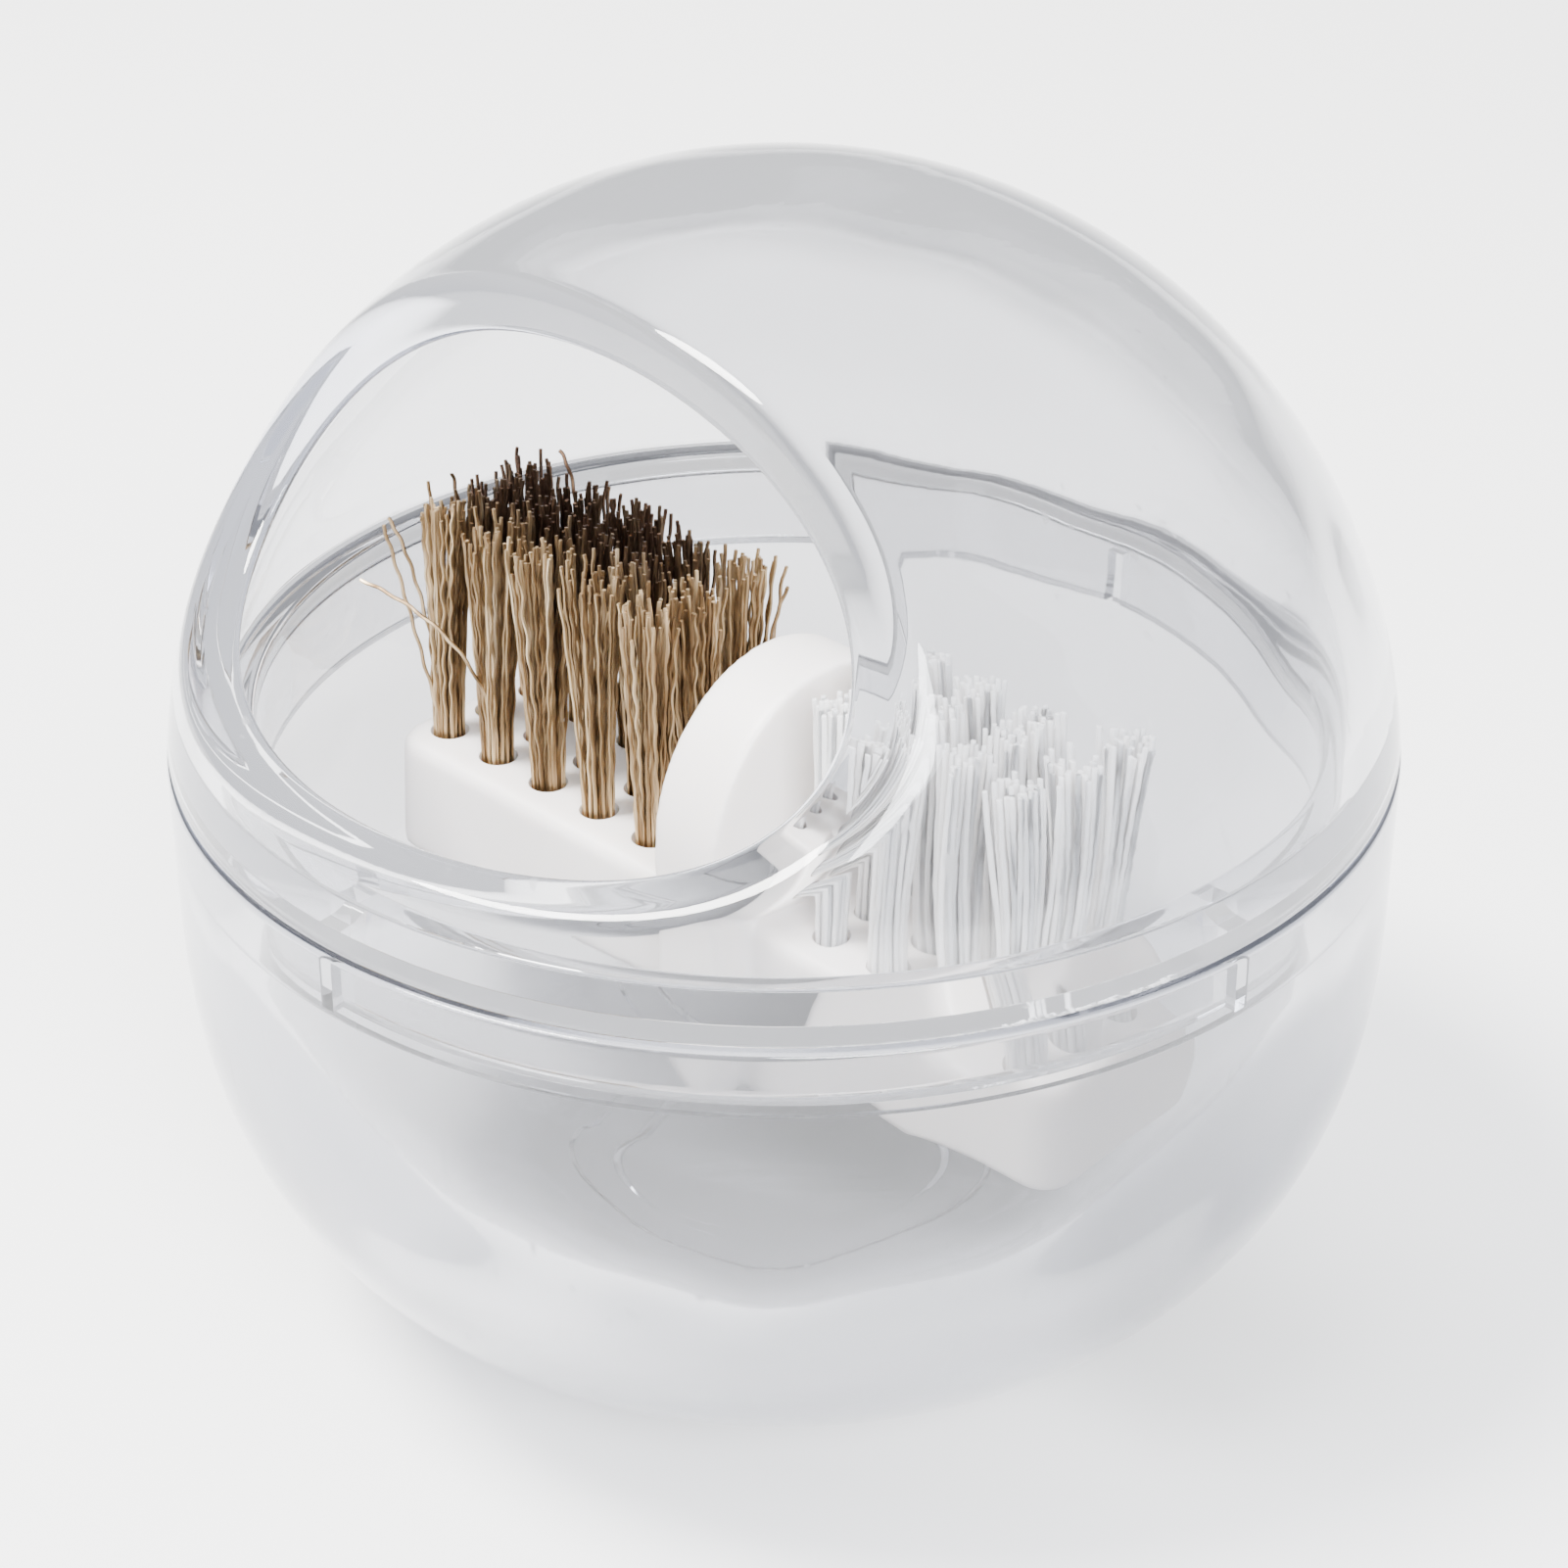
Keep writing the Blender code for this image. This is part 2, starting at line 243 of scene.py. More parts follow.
# ---------------------------------------------------------------- lid


def opening_edge(radius, azimuths):
    """Points where the opening's cylinder meets a sphere of the lid, from the sphere's centre."""
    centre_y = OPENING_Y
    centre_z = OPENING_Z - DOME_CENTRE_Z
    far = math.hypot(centre_y, centre_z)
    middle = math.atan2(-centre_z, -centre_y)
    reach = math.acos((OPENING_R**2 + far**2 - radius**2) / (2 * OPENING_R * far))
    around = middle + reach * np.cos(azimuths)
    y = centre_y + OPENING_R * np.cos(around)
    z = centre_z + OPENING_R * np.sin(around)
    x = np.sqrt(np.maximum(radius**2 - y**2 - z**2, 0)) * np.sign(np.sin(azimuths))
    return np.stack((x, y, z), axis=-1)


def bend(start, corner, end, steps):
    t = np.linspace(0, 1, steps).reshape(-1, 1, 1)
    return (1 - t) ** 2 * start + 2 * t * (1 - t) * corner + t**2 * end


def sphere_rows(radius, lip, rim_z, azimuths):
    """Rows on a sphere from just outside the opening's edge to the circle at rim_z."""
    height = rim_z - DOME_CENTRE_Z
    flat_r = math.sqrt(radius**2 - height**2)
    rim = np.stack(
        (flat_r * np.sin(azimuths), flat_r * np.cos(azimuths), np.full_like(azimuths, height)),
        axis=-1,
    )
    start = unit(lip)
    end = unit(rim)
    angle = np.arccos(np.clip(np.sum(start * end, axis=-1), -1, 1))
    first = (LIP_ROUND / radius / angle).reshape(1, -1, 1)
    shares = np.linspace(0, 1, DOME_ROWS).reshape(-1, 1, 1)
    t = first + (1 - first) * shares
    big = angle.reshape(1, -1, 1)
    rows = (np.sin((1 - t) * big) * start + np.sin(t * big) * end) / np.sin(big)
    return radius * rows


def make_dome_lid():
    inner_r = DOME_R - DOME_WALL
    azimuths = column_angles(SLOT_WIDTH / 2, COLLAR_R)
    outer_lip = opening_edge(DOME_R, azimuths)
    inner_lip = opening_edge(inner_r, azimuths)
    outer = sphere_rows(DOME_R, outer_lip, SEAM_Z + 0.0002, azimuths)
    inner = sphere_rows(inner_r, inner_lip, LEDGE_Z + 0.0003, azimuths)
    inner += unit(inner) * ripple(unit(inner))[..., None]
    across = unit(inner_lip - outer_lip)
    outer_turn = bend(outer[0], outer_lip, outer_lip + LIP_ROUND * across, LIP_STEPS)
    inner_turn = bend(inner_lip - LIP_ROUND * across, inner_lip, inner[0], LIP_STEPS)

    seam_r = math.sqrt(DOME_R**2 - (SEAM_Z - DOME_CENTRE_Z) ** 2)
    ledge_r = math.sqrt(inner_r**2 - (LEDGE_Z - DOME_CENTRE_Z) ** 2)
    start_r, start_z = np.hypot(*outer[-1][0][:2]), outer[-1][0][2] + DOME_CENTRE_Z
    end_r, end_z = np.hypot(*inner[-1][0][:2]), inner[-1][0][2] + DOME_CENTRE_Z
    profile = [
        (start_r, start_z, 0),
        (seam_r, SEAM_Z, 0.00018),
        (COLLAR_R, SEAM_Z, 0.0003),
        (COLLAR_R, COLLAR_BOTTOM_Z, 0.0003),
        (COLLAR_INNER_R, COLLAR_BOTTOM_Z, 0.0003),
        (COLLAR_INNER_R, LEDGE_Z, 0.0004),
        (ledge_r, LEDGE_Z, 0.00028),
        (end_r, end_z, 0),
    ]
    points = np.array(rounded(profile)[1:-1])
    around = np.stack((np.sin(azimuths), np.cos(azimuths)), axis=-1)
    collar = np.empty((len(points), len(azimuths), 3))
    collar[..., :2] = points[:, 0, None, None] * around
    collar[..., 2] = points[:, 1, None] - DOME_CENTRE_Z
    slot_top = SEAM_Z - KEY_GAP - DOME_CENTRE_Z
    depth = slot_top - (COLLAR_BOTTOM_Z - DOME_CENTRE_Z)
    cut = in_key(azimuths, SLOT_WIDTH / 2, COLLAR_R)[None, :] & (collar[..., 2] < slot_top)
    raised = slot_top - CRISP * (slot_top - collar[..., 2]) / depth
    collar[..., 2] = np.where(cut, raised, collar[..., 2])

    rows = np.concatenate(
        (outer_turn[::-1][:-1], outer, collar, inner[::-1], inner_turn[::-1][1:])
    )
    vertices = rows.reshape(-1, 3) + np.array((0, 0, DOME_CENTRE_Z))
    faces = grid_faces(len(rows), len(azimuths), True)
    lid = mesh_object("clear_dome_lid", vertices, faces)
    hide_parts("dome_lid")
    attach(lid, "lid")
    return lid


# ---------------------------------------------------------------- cup


def make_cup():
    rim_z = SEAM_Z - SEAM_GAP
    outside = squared_bowl()
    inside = round_bowl()
    floor_r = math.sqrt(CUP_INNER_R**2 - (CUP_INNER_Z - CUP_FLOOR_Z) ** 2)
    rib_low = SEAT_BOTTOM_Z + KEY_GAP
    rib_high = SEAM_Z - 2 * KEY_GAP
    profile = [
        (floor_r - 0.0020, CUP_FLOOR_Z, 0),
        (floor_r - 0.0012, CUP_FLOOR_Z, 0),
        (floor_r, CUP_FLOOR_Z, 0.0008),
        *inside,
        (SEAT_R, SEAT_BOTTOM_Z, 0.00006),
        (SEAT_R, rib_low - CRISP, 0),
        (SEAT_R, rib_low + CRISP, 0),
        (SEAT_R, rib_high - CRISP, 0),
        (SEAT_R, rib_high + CRISP, 0),
        (SEAT_R, rim_z, 0.0002),
        (CUP_R, rim_z, 0.0003),
        *outside,
        (FOOT_R - 0.0003, 0.0, 0.0001),
        (FOOT_R - FOOT_RING, 0.0, 0.0002),
        (FOOT_R - FOOT_RING - FOOT_RECESS, FOOT_RECESS, 0.0002),
        (FOOT_R - FOOT_RING - 2 * FOOT_RECESS, FOOT_RECESS, 0),
        (FOOT_R - FOOT_RING - 3 * FOOT_RECESS, FOOT_RECESS, 0),
    ]
    points = np.array(rounded(profile))
    azimuths = column_angles(KEY_WIDTH / 2, SEAT_R)
    radii = np.repeat(points[:, :1], len(azimuths), axis=1)
    heights = points[:, 1:]
    on_rib = (np.abs(radii - SEAT_R) < MERGE) & (heights > rib_low) & (heights < rib_high)
    on_rib &= in_key(azimuths, KEY_WIDTH / 2, SEAT_R)[None, :]
    radii = np.where(on_rib, KEY_LOW_R, radii)
    grid = np.stack(
        (radii * np.sin(azimuths), radii * np.cos(azimuths), np.broadcast_to(heights, radii.shape)),
        axis=-1,
    )
    directions = unit(grid - np.array((0, 0, CUP_INNER_Z)))
    reach = np.hypot(radii, heights - CUP_INNER_Z)
    inner = np.abs(reach - CUP_INNER_R) < MERGE
    grid += np.where(inner, ripple(directions), 0)[..., None] * directions
    rows, columns = radii.shape
    faces = grid_faces(rows, columns, False)
    faces.append(tuple(range(columns))[::-1])
    faces.append(tuple((rows - 1) * columns + j for j in range(columns)))
    cup = mesh_object("clear_cup", grid.reshape(-1, 3), faces)
    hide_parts("cup")
    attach(cup, "base")
    return cup


# ---------------------------------------------------------------- brush holder


def tuft_boxes(kind):
    """The CAD nodes of one kind of tuft, each with its axis on the shelf."""
    found = []
    for name in sorted(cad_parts):
        if name.startswith(f"tuft_{kind}"):
            low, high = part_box(name)
            found.append((name, (low.x + high.x) / 2, (low.y + high.y) / 2))
    return found


def bevelled_block():
    bm = bmesh.new()
    middle_x = (BLOCK_LOW_X + BLOCK_HIGH_X) / 2
    size = (BLOCK_HIGH_X - BLOCK_LOW_X, 2 * BLOCK_HALF_DEPTH, SHELF_Z - holder_low.z)
    place = Matrix.Translation((middle_x, 0, (SHELF_Z + holder_low.z) / 2))
    bmesh.ops.create_cube(bm, size=1.0, matrix=place @ Matrix.Diagonal((*size, 1.0)))
    for vert in bm.verts:
        if vert.co.z < SHELF_Z - MERGE:
            vert.co.x += math.copysign(BLOCK_DRAFT, vert.co.x - middle_x)
            vert.co.y += math.copysign(BLOCK_DRAFT, vert.co.y)
    upright = [e for e in bm.edges if abs(e.verts[0].co.z - e.verts[1].co.z) > MERGE]
    bmesh.ops.bevel(
        bm, geom=upright, offset=BLOCK_CORNER_R, segments=10, profile=0.5, affect="EDGES"
    )
    top = [e for e in bm.edges if min(v.co.z for v in e.verts) > SHELF_Z - MERGE]
    bmesh.ops.bevel(bm, geom=top, offset=BLOCK_TOP_ROUND, segments=5, profile=0.5, affect="EDGES")
    return bm


def add_grip(bm):
    """The arch's outline, half an ellipse on straight sides, swept through its thickness."""
    half_width = holder_high.y
    rise = holder_high.z - GRIP_SHOULDER_Z
    outline = [(half_width, holder_low.z)]
    for angle in np.linspace(0, math.pi, 49):
        outline.append((half_width * math.cos(angle), GRIP_SHOULDER_Z + rise * math.sin(angle)))
    outline.append((-half_width, holder_low.z))
    near = [bm.verts.new((GRIP_LOW_X, y, z)) for y, z in outline]
    far = [bm.verts.new((GRIP_HIGH_X, y, z)) for y, z in outline]
    bm.faces.new(near)
    bm.faces.new(far[::-1])
    for i in range(len(outline)):
        k = (i + 1) % len(outline)
        bm.faces.new((near[k], near[i], far[i], far[k]))
    rims = [bm.edges.get(pair) for side in (near, far) for pair in zip(side, side[1:])]
    bmesh.ops.bevel(bm, geom=rims, offset=GRIP_ROUND, segments=6, profile=0.5, affect="EDGES")


def make_holder():
    bm = bevelled_block()
    add_grip(bm)
    bmesh.ops.recalc_face_normals(bm, faces=bm.faces)
    mesh = bpy.data.meshes.new("white_brush_holder")
    bm.to_mesh(mesh)
    bm.free()
    holder = bpy.data.objects.new("white_brush_holder", mesh)
    bpy.context.scene.collection.objects.link(holder)
    remesh = holder.modifiers.new("one_skin", "REMESH")
    remesh.mode = "VOXEL"
    remesh.voxel_size = HOLDER_VOXEL
    soften = holder.modifiers.new("soft_edges", "SMOOTH")
    soften.factor = 0.5
    soften.iterations = HOLDER_SMOOTHING

    holes = bmesh.new()
    for kind in ("brass", "nylon"):
        for _, x, y in tuft_boxes(kind):
            place = Matrix.Translation((x, y, SHELF_Z))
            bmesh.ops.create_cone(
                holes,
                cap_ends=True,
                segments=28,
                radius1=HOLE_R,
                radius2=HOLE_R,
                depth=HOLE_CUT_DEPTH,
                matrix=place,
            )
    cutter_mesh = bpy.data.meshes.new("hole_cutter")
    holes.to_mesh(cutter_mesh)
    holes.free()
    cutter = bpy.data.objects.new("hole_cutter", cutter_mesh)
    bpy.context.scene.collection.objects.link(cutter)
    drill = holder.modifiers.new("holes", "BOOLEAN")
    drill.operation = "DIFFERENCE"
    drill.object = cutter
    bpy.context.view_layer.update()
    graph = bpy.context.evaluated_depsgraph_get()
    finished = bpy.data.meshes.new_from_object(holder.evaluated_get(graph))
    holder.modifiers.clear()
    holder.data = finished
    bpy.data.objects.remove(cutter)
    finished.shade_smooth()
    finished.set_sharp_from_angle(angle=SHARP_ANGLE)
    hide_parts("brush_holder")
    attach(holder, "brush")
    return holder


# ---------------------------------------------------------------- tufts


def tube_vertices(paths, radius, sides):
    """Rings round each path: an array of shape (paths, points, sides, 3)."""
    tangents = unit(np.gradient(paths, axis=1))
    side = unit(np.cross(tangents, np.array((0.2, 1.0, 0.1))))
    other = np.cross(tangents, side)
    turns = np.linspace(0, 2 * math.pi, sides, endpoint=False)
    ring = np.cos(turns)[:, None] * side[:, :, None, :]
    ring = ring + np.sin(turns)[:, None] * other[:, :, None, :]
    return paths[:, :, None, :] + radius * ring


def tube_faces(count, points, sides):
    """Quads of each tube, then its two end caps, with material 1 on the top cap."""
    faces = []
    materials = []
    for wire in range(count):
        base = wire * points * sides
        for i in range(points - 1):
            for j in range(sides):
                k = (j + 1) % sides
                low = base + i * sides
                high = low + sides
                faces.append((low + j, low + k, high + k, high + j))
                materials.append(0)
        faces.append(tuple(base + j for j in range(sides))[::-1])
        faces.append(tuple(base + (points - 1) * sides + j for j in range(sides)))
        materials += [0, 1]
    return faces, materials


def root_places(count, radius):
    """Evenly packed places in a disc, with a little scatter."""
    index = np.arange(count) + 0.5
    r = radius * np.sqrt(index / count)
    turn = index * math.pi * (3 - math.sqrt(5)) + rng.uniform(0, 2 * math.pi)
    scatter = rng.normal(0, ROOT_SCATTER, (count, 2))
    return np.stack((r * np.cos(turn), r * np.sin(turn)), axis=-1) + scatter


def bundle(x, y, count, spread, crimp, ragged, points):
    """Wire paths of one tuft: packed at the shelf, spreading upwards, crimped and unevenly cut."""
    roots = root_places(count, TUFT_ROOT_R)
    lean = rng.normal(0, TUFT_LEAN, 2)
    tips = roots * spread + lean + rng.normal(0, TIP_SCATTER, (count, 2))
    top = TUFT_HEIGHT + rng.normal(0, ragged, count)
    top = np.minimum(top, TUFT_HEIGHT + 2.6 * ragged)
    share = np.linspace(0, 1, points)
    height = WIRE_START + (top[:, None] - WIRE_START) * share
    rise = np.clip(height / TUFT_HEIGHT, 0, None)
    bow = rise**1.25
    flat = roots[:, None, :] + (tips - roots)[:, None, :] * bow[..., None]
    wave_length = rng.uniform(0.0017, 0.0027, (count, 1))
    phase = rng.uniform(0, 2 * math.pi, (count, 1))
    facing = rng.uniform(0, 2 * math.pi, (count, 1))
    size = crimp * rng.uniform(0.6, 1.4, (count, 1)) * np.clip(rise * 4, 0.15, 1)
    swing = size * np.sin(2 * math.pi * height / wave_length + phase)
    twist = 0.5 * size * np.sin(2 * math.pi * height / wave_length * 0.73 + 2 * phase)
    flat[..., 0] += swing * np.cos(facing) - twist * np.sin(facing)
    flat[..., 1] += swing * np.sin(facing) + twist * np.cos(facing)
    paths = np.concatenate((flat, height[..., None]), axis=-1)
    return paths + np.array((x, y, SHELF_Z))


def make_tuft(name, paths, radius, sides):
    vertices = tube_vertices(paths, radius, sides)
    faces, materials = tube_faces(len(paths), paths.shape[1], sides)
    piece = name.replace("tuft_", "") + "_wires"
    tuft = mesh_object(piece, vertices.reshape(-1, 3), faces, materials)
    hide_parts(name)
    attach(tuft, "brush")
    return tuft


def make_strays():
    """Single bent wires that stand away from the brass tufts, each near a few points in mm."""
    routes = (
        (
            (-18.2, -3.3, 23.0),
            (-18.3, -4.2, 27.0),
            (-19.6, -5.2, 29.6),
            (-21.8, -6.3, 31.2),
            (-23.9, -7.0, 31.8),
        ),
        ((-22.3, -3.6, 23.0), (-22.8, -4.2, 27.0), (-23.5, -4.7, 31.0), (-23.8, -5.4, 34.4)),
        ((-22.4, -3.0, 23.0), (-22.9, -3.5, 28.0), (-23.3, -4.2, 32.0), (-24.0, -4.9, 34.6)),
        ((-18.3, 3.3, 23.0), (-18.8, 3.8, 29.0), (-19.4, 4.0, 34.0), (-20.6, 4.0, 36.6)),
        ((-5.9, 3.2, 23.0), (-5.2, 3.4, 28.0), (-4.6, 3.8, 32.0), (-3.9, 4.2, 34.6)),
        ((-22.3, 0.4, 23.0), (-23.0, 0.2, 28.0), (-23.7, -0.2, 33.0), (-24.1, -0.4, 35.6)),
    )
    paths = []
    for route in routes:
        knots = np.array(route) * MM
        at = np.linspace(0, 1, len(knots))
        share = np.linspace(0, 1, STRAY_POINTS)
        fit = np.polynomial.polynomial.polyfit(at, knots, min(3, len(knots) - 1))
        path = np.polynomial.polynomial.polyval(share, fit).T
        path[:, 1] += STRAY_CRIMP * np.sin(share * STRAY_WAVES + len(paths))
        paths.append(path)
    vertices = tube_vertices(np.array(paths), WIRE_R, STRAY_SIDES)
    faces, materials = tube_faces(len(paths), STRAY_POINTS, STRAY_SIDES)
    strays = mesh_object("stray_brass_wires", vertices.reshape(-1, 3), faces, materials)
    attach(strays, "brush")
    return strays


# ---------------------------------------------------------------- materials


def new_material(name):
    material = bpy.data.materials.new(name)
    material.use_nodes = True
    nodes = material.node_tree.nodes
    return material, nodes, material.node_tree.links, nodes["Principled BSDF"]


def noise(nodes, links, scale, detail, stretch=(1, 1, 1)):
    """A noise texture in object space, stretched along the axes."""
    place = nodes.new("ShaderNodeTexCoord")
    mapping = nodes.new("ShaderNodeMapping")
    mapping.inputs["Scale"].default_value = stretch
    texture = nodes.new("ShaderNodeTexNoise")
    texture.inputs["Scale"].default_value = scale
    texture.inputs["Detail"].default_value = detail
    links.new(place.outputs["Object"], mapping.inputs["Vector"])
    links.new(mapping.outputs["Vector"], texture.inputs["Vector"])
    return texture.outputs["Fac"]


def ramp(nodes, links, source, stops):
    node = nodes.new("ShaderNodeValToRGB")
    elements = node.color_ramp.elements
    while len(elements) < len(stops):
        elements.new(0.5)
    for element, (at, colour) in zip(elements, stops):
        element.position = at
        element.color = (*colour, 1)
    links.new(source, node.inputs["Fac"])
    return node.outputs["Color"]


def ranged(nodes, links, source, low, high):
    node = nodes.new("ShaderNodeMapRange")
    node.inputs["To Min"].default_value = low
    node.inputs["To Max"].default_value = high
    links.new(source, node.inputs["Value"])
    return node.outputs["Result"]


def span(nodes, links, source, low, high):
    """0 at low and 1 at high, held beyond them."""
    node = nodes.new("ShaderNodeMapRange")
    node.inputs["From Min"].default_value = low
    node.inputs["From Max"].default_value = high
    links.new(source, node.inputs["Value"])
    return node.outputs["Result"]


def product(nodes, links, first, second):
    node = nodes.new("ShaderNodeMath")
    node.operation = "MULTIPLY"
    links.new(first, node.inputs[0])
    links.new(second, node.inputs[1])
    return node.outputs["Value"]


def add_bump(nodes, links, source, distance, strength, shader):
    bump = nodes.new("ShaderNodeBump")
    bump.inputs["Distance"].default_value = distance
    bump.inputs["Strength"].default_value = strength
    links.new(source, bump.inputs["Height"])
    links.new(bump.outputs["Normal"], shader.inputs["Normal"])


def clear_plastic_material(name, tint, shadow_tint):
    """Clear polystyrene with faint haze and scratches.

    Shadow rays, diffuse rays and long chains of bounces go straight through, tinted.
    """
    material, nodes, links, shader = new_material(name)
    shader.inputs["Base Color"].default_value = (*tint, 1)
    shader.inputs["Transmission Weight"].default_value = 1.0
    shader.inputs["IOR"].default_value = 1.57
    haze = noise(nodes, links, 160, 3)
    rubbed = noise(nodes, links, 1100, 1, (1, 1, 0.035))
    marks = span(nodes, links, rubbed, 0.70, 0.76)
    rough = nodes.new("ShaderNodeMath")
    rough.operation = "MULTIPLY_ADD"
    rough.inputs[1].default_value = 0.16
    links.new(marks, rough.inputs[0])
    links.new(ranged(nodes, links, haze, 0.0, 0.045), rough.inputs[2])
    links.new(rough.outputs["Value"], shader.inputs["Roughness"])
    scratches = noise(nodes, links, 900, 2, (1, 0.06, 0.3))
    add_bump(nodes, links, scratches, 0.00002, 0.12, shader)
    clear = nodes.new("ShaderNodeBsdfTransparent")
    clear.inputs["Color"].default_value = (*shadow_tint, 1)
    path = nodes.new("ShaderNodeLightPath")
    straight = path.outputs["Is Shadow Ray"]
    for kind, most in (("Is Diffuse Ray", 0.5), ("Glossy Depth", 2.5), ("Transmission Depth", 9.5)):
        over = nodes.new("ShaderNodeMath")
        over.operation = "GREATER_THAN"
        over.inputs[1].default_value = most
        links.new(path.outputs[kind], over.inputs[0])
        either = nodes.new("ShaderNodeMath")
        either.operation = "MAXIMUM"
        links.new(straight, either.inputs[0])
        links.new(over.outputs["Value"], either.inputs[1])
        straight = either.outputs["Value"]
    mix = nodes.new("ShaderNodeMixShader")
    links.new(straight, mix.inputs[0])
    links.new(shader.outputs["BSDF"], mix.inputs[1])
    links.new(clear.outputs["BSDF"], mix.inputs[2])
    absorb = nodes.new("ShaderNodeVolumeAbsorption")
    absorb.inputs["Color"].default_value = (0.62, 0.70, 1.0, 1)
    absorb.inputs["Density"].default_value = 9.0
    output = nodes["Material Output"]
    links.new(mix.outputs["Shader"], output.inputs["Surface"])
    links.new(absorb.outputs["Volume"], output.inputs["Volume"])
    return material


def white_plastic_material():
    """Moulded white plastic: warm white with a soft grain, faint cloudiness and slight depth."""
    material, nodes, links, shader = new_material("white_moulding")
    cloud = noise(nodes, links, 90, 4)
    tone = ramp(nodes, links, cloud, ((0.3, (0.80, 0.755, 0.725)), (0.7, (0.865, 0.825, 0.80))))
    links.new(tone, shader.inputs["Base Color"])
    grain = noise(nodes, links, 2600, 3)
    links.new(ranged(nodes, links, grain, 0.32, 0.5), shader.inputs["Roughness"])
    shader.inputs["Subsurface Weight"].default_value = 0.25
    shader.inputs["Subsurface Radius"].default_value = (0.0012, 0.0010, 0.0008)
    shader.inputs["Subsurface Scale"].default_value = 1.0
    add_bump(nodes, links, grain, 0.00001, 0.25, shader)
    return material


def wire_material():
    """Drawn brass: tone varies from wire to wire, and painted shade darkens the rear rows' tops."""
    material, nodes, links, shader = new_material("brass_wire")
    shader.inputs["Metallic"].default_value = 1.0
    each = noise(nodes, links, 1500, 2, (1, 1, 0.05))
    stops = (
        (0.28, (0.095, 0.055, 0.026)),
        (0.44, (0.300, 0.200, 0.105)),
        (0.58, (0.480, 0.350, 0.200)),
        (0.74, (0.800, 0.650, 0.430)),
    )
    tone = ramp(nodes, links, each, stops)
    place = nodes.new("ShaderNodeTexCoord")
    axes = nodes.new("ShaderNodeSeparateXYZ")
    links.new(place.outputs["Object"], axes.inputs["Vector"])
    # Painted shade: wires darken towards the back, the top and the outer end, with the amount varied
    # wire by wire.
    backwards = span(nodes, links, axes.outputs["Y"], -0.0026, 0.0002)
    upwards = span(nodes, links, axes.outputs["Z"], SHELF_Z + 0.0020, SHELF_Z + 0.0095)
    outwards = span(nodes, links, axes.outputs["X"], -0.0062, -0.0105)
    painted_rear_shade = product(nodes, links, product(nodes, links, backwards, upwards), outwards)
    painted_rear_shade = product(nodes, links, painted_rear_shade, ranged(nodes, links, each, 1.15, 0.75))
    mix = nodes.new("ShaderNodeMixRGB")
    # Dark brown of the painted shade on the rear rows.
    mix.inputs["Color2"].default_value = (0.060, 0.034, 0.022, 1)
    links.new(painted_rear_shade, mix.inputs["Fac"])
    links.new(tone, mix.inputs["Color1"])
    links.new(mix.outputs["Color"], shader.inputs["Base Color"])
    lines = noise(nodes, links, 5200, 2, (1, 1, 0.12))
    links.new(ranged(nodes, links, lines, 0.28, 0.55), shader.inputs["Roughness"])
    add_bump(nodes, links, lines, 0.00001, 0.3, shader)
    return material


def cut_end_material():
    """Freshly cut brass at a wire's end: brighter, with the cutter's scuffs."""
    material, nodes, links, shader = new_material("brass_cut_end")
    shader.inputs["Metallic"].default_value = 1.0
    scuff = noise(nodes, links, 6000, 2)
    tone = ramp(nodes, links, scuff, ((0.3, (0.86, 0.62, 0.33)), (0.7, (0.98, 0.82, 0.55))))
    links.new(tone, shader.inputs["Base Color"])
    links.new(ranged(nodes, links, scuff, 0.3, 0.5), shader.inputs["Roughness"])
    return material


def nylon_material():
    """Milky nylon bristle that scatters light inside."""
    material, nodes, links, shader = new_material("nylon_bristle")
    each = noise(nodes, links, 1400, 2, (1, 1, 0.08))
    tone = ramp(nodes, links, each, ((0.3, (0.975, 0.950, 0.925)), (0.7, (1.0, 0.985, 0.965))))
    links.new(tone, shader.inputs["Base Color"])
    links.new(ranged(nodes, links, each, 0.3, 0.45), shader.inputs["Roughness"])
    shader.inputs["Subsurface Weight"].default_value = 0.85
    shader.inputs["Subsurface Radius"].default_value = (0.0016, 0.0015, 0.0014)
    shader.inputs["Subsurface Scale"].default_value = 1.0
    return material


def anchor_material():
    material, nodes, links, shader = new_material("anchor_wire")
    shader.inputs["Metallic"].default_value = 1.0
    grain = noise(nodes, links, 2400, 3, (0.2, 1, 1))
    tone = ramp(nodes, links, grain, ((0.3, (0.42, 0.42, 0.41)), (0.7, (0.64, 0.64, 0.63))))
    links.new(tone, shader.inputs["Base Color"])
    links.new(ranged(nodes, links, grain, 0.25, 0.45), shader.inputs["Roughness"])
    return material


def floor_material():
    material, nodes, links, shader = new_material("pale_floor")
    tone_noise = noise(nodes, links, 6, 3)
    stops = ((0.3, (0.905, 0.905, 0.905)), (0.7, (0.925, 0.925, 0.925)))
    tone = ramp(nodes, links, tone_noise, stops)
    links.new(tone, shader.inputs["Base Color"])
    shader.inputs["Roughness"].default_value = 0.9
    return material


def give(obj, *materials):
    obj.data.materials.clear()
    for material in materials:
        obj.data.materials.append(material)


# ---------------------------------------------------------------- stage


def make_floor():
    bm = bmesh.new()
    bmesh.ops.create_grid(bm, x_segments=8, y_segments=8, size=FLOOR_HALF_WIDTH)
    mesh = bpy.data.meshes.new("floor")
    bm.to_mesh(mesh)
    bm.free()
    floor = bpy.data.objects.new("floor", mesh)
    floor.location.z = -FLOOR_GAP
    bpy.context.scene.collection.objects.link(floor)
    give(floor, floor_material())


def aim(obj, target):
    direction = Vector(target) - obj.location
    obj.rotation_euler = direction.to_track_quat("-Z", "Y").to_euler()


def add_lamp(name, place, size, energy, colour):
    light = bpy.data.lights.new(name, "AREA")
    light.shape = "DISK"
    light.size = size
    light.energy = energy
    light.color = colour
    lamp = bpy.data.objects.new(name, light)
    lamp.location = place
    aim(lamp, (0, 0, DOME_CENTRE_Z))
    bpy.context.scene.collection.objects.link(lamp)


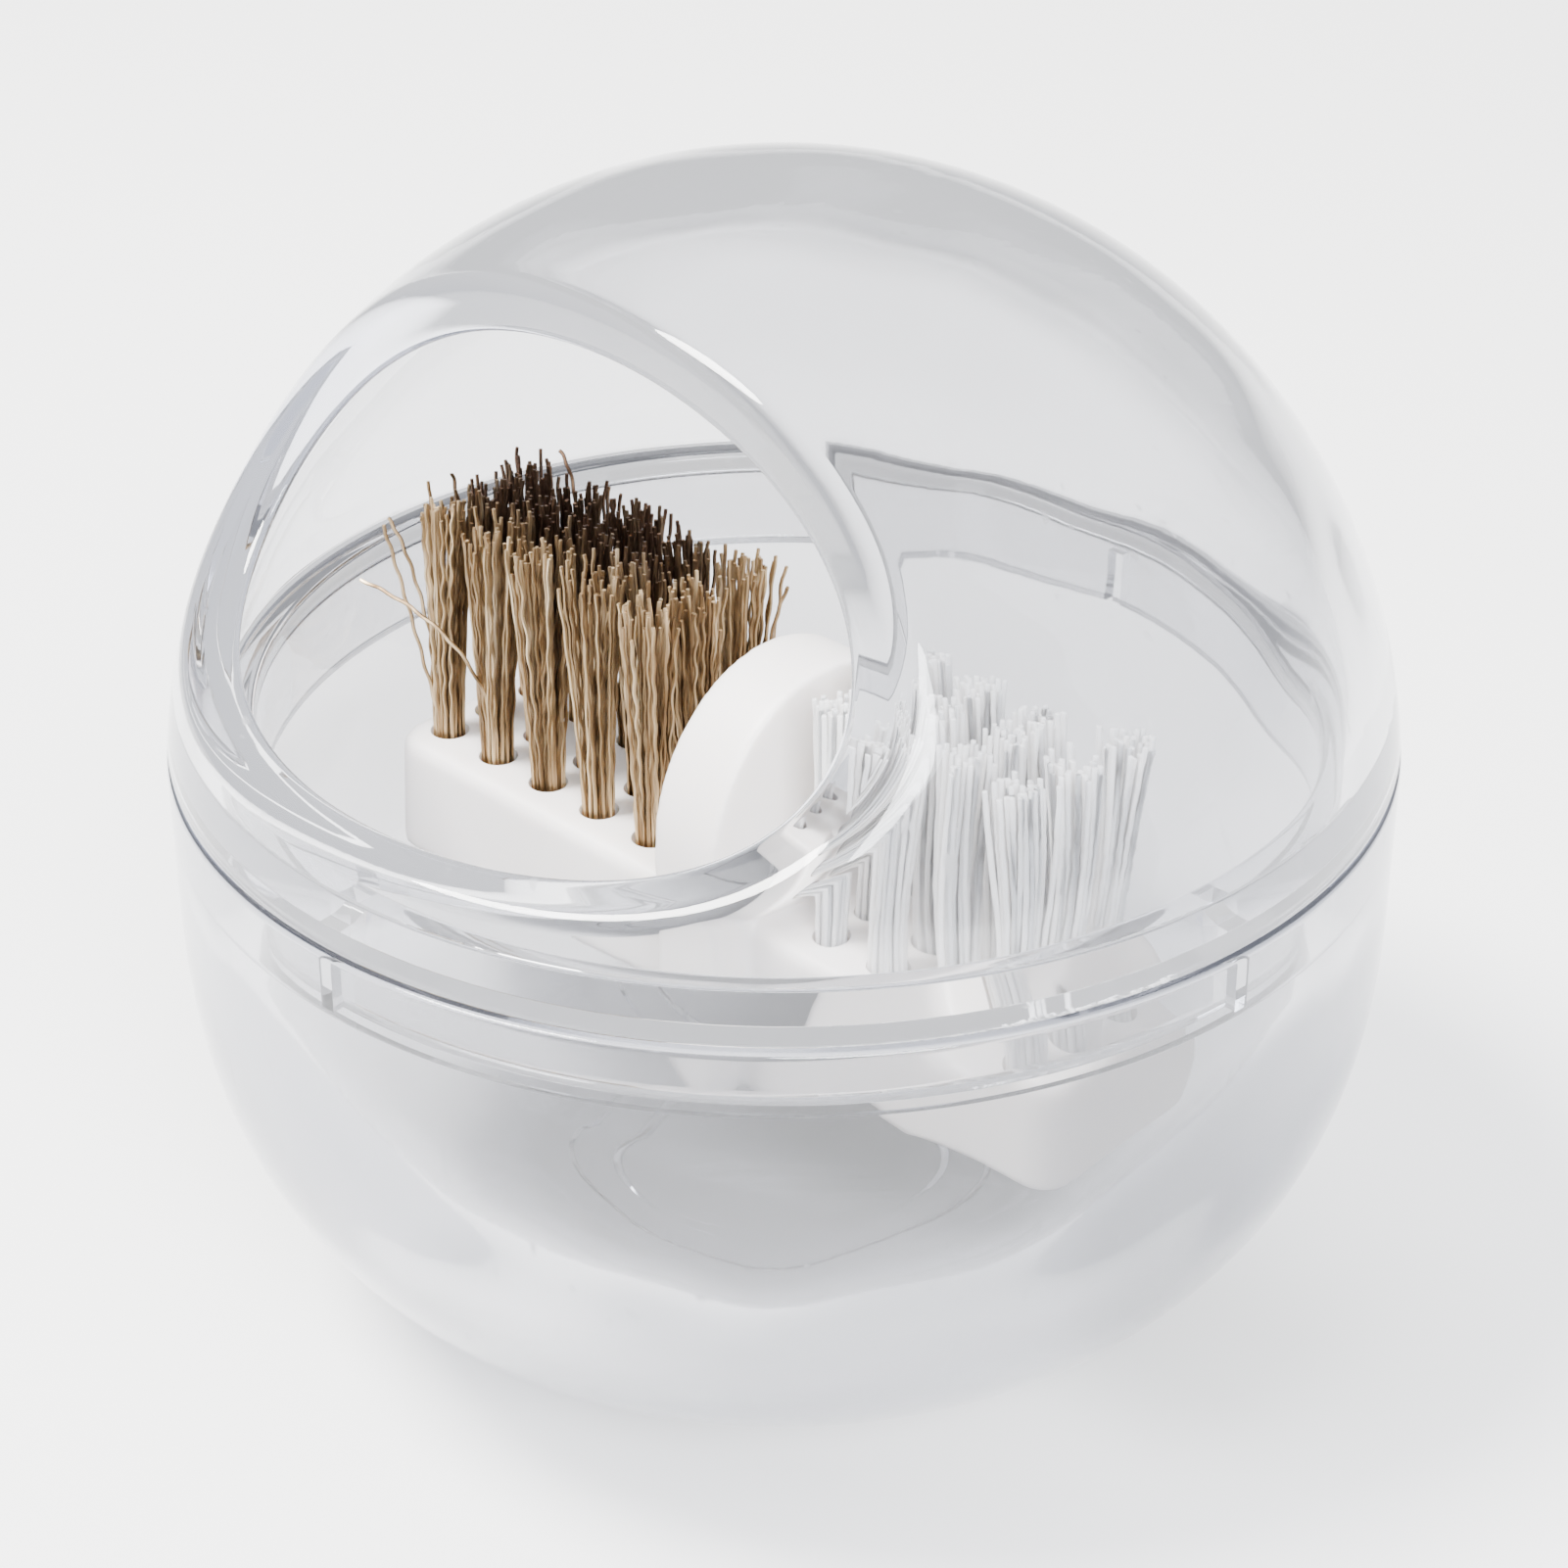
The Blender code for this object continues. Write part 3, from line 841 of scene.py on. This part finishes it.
def make_light():
    world = bpy.data.worlds.new("studio")
    world.use_nodes = True
    nodes = world.node_tree.nodes
    links = world.node_tree.links
    background = nodes["Background"]
    sky = nodes.new("ShaderNodeTexCoord")
    axes = nodes.new("ShaderNodeSeparateXYZ")
    links.new(sky.outputs["Generated"], axes.inputs["Vector"])
    height = span(nodes, links, axes.outputs["Z"], 0.0, 0.8)
    tone = ramp(nodes, links, height, ((0.0, (0.80, 0.81, 0.83)), (1.0, (1.0, 1.0, 1.0))))
    links.new(tone, background.inputs["Color"])
    background.inputs["Strength"].default_value = 1.55
    bpy.context.scene.world = world
    add_lamp("key", (-0.20, -0.24, 0.60), 0.26, 16.0, (1.0, 0.985, 0.96))
    add_lamp("fill", (0.50, -0.30, 0.40), 0.35, 13.0, (0.95, 0.97, 1.0))


def make_camera():
    azimuth = math.radians(CAMERA_AZIMUTH_DEG)
    elevation = math.radians(CAMERA_ELEVATION_DEG)
    distance = CAMERA_DISTANCE
    camera = bpy.data.cameras.new("camera")
    camera.sensor_width = 36.0
    camera.lens = CAMERA_LENS_MM
    camera.clip_start = 0.01
    holder = bpy.data.objects.new("camera", camera)
    holder.location = (
        distance * math.cos(elevation) * math.sin(azimuth),
        -distance * math.cos(elevation) * math.cos(azimuth),
        DOME_CENTRE_Z + distance * math.sin(elevation),
    )
    aim(holder, (0, 0, DOME_CENTRE_Z - CAMERA_AIM_DROP))
    bpy.context.scene.collection.objects.link(holder)
    bpy.context.scene.camera = holder


# ---------------------------------------------------------------- build

make_camera()
make_light()
make_floor()
lid_plastic = clear_plastic_material("clear_lid", (0.800, 0.804, 0.820), (0.965, 0.967, 0.975))
cup_plastic = clear_plastic_material("clear_cup", (0.630, 0.634, 0.652), (0.520, 0.523, 0.535))
wire = wire_material()
cut_end = cut_end_material()
nylon = nylon_material()
anchor = anchor_material()
give(make_dome_lid(), lid_plastic)
give(make_cup(), cup_plastic)
give(make_holder(), white_plastic_material())
for node, x, y in tuft_boxes("brass"):
    paths = bundle(x, y, **BRASS_TUFT)
    tuft = make_tuft(node, paths, WIRE_R, WIRE_SIDES)
    give(tuft, wire, cut_end)
for node, x, y in tuft_boxes("nylon"):
    paths = bundle(x, y, **NYLON_TUFT)
    tuft = make_tuft(node, paths, BRISTLE_R, BRISTLE_SIDES)
    give(tuft, nylon, nylon)
give(make_strays(), wire, cut_end)
for name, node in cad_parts.items():
    if name.startswith("anchor_"):
        give(node, anchor)
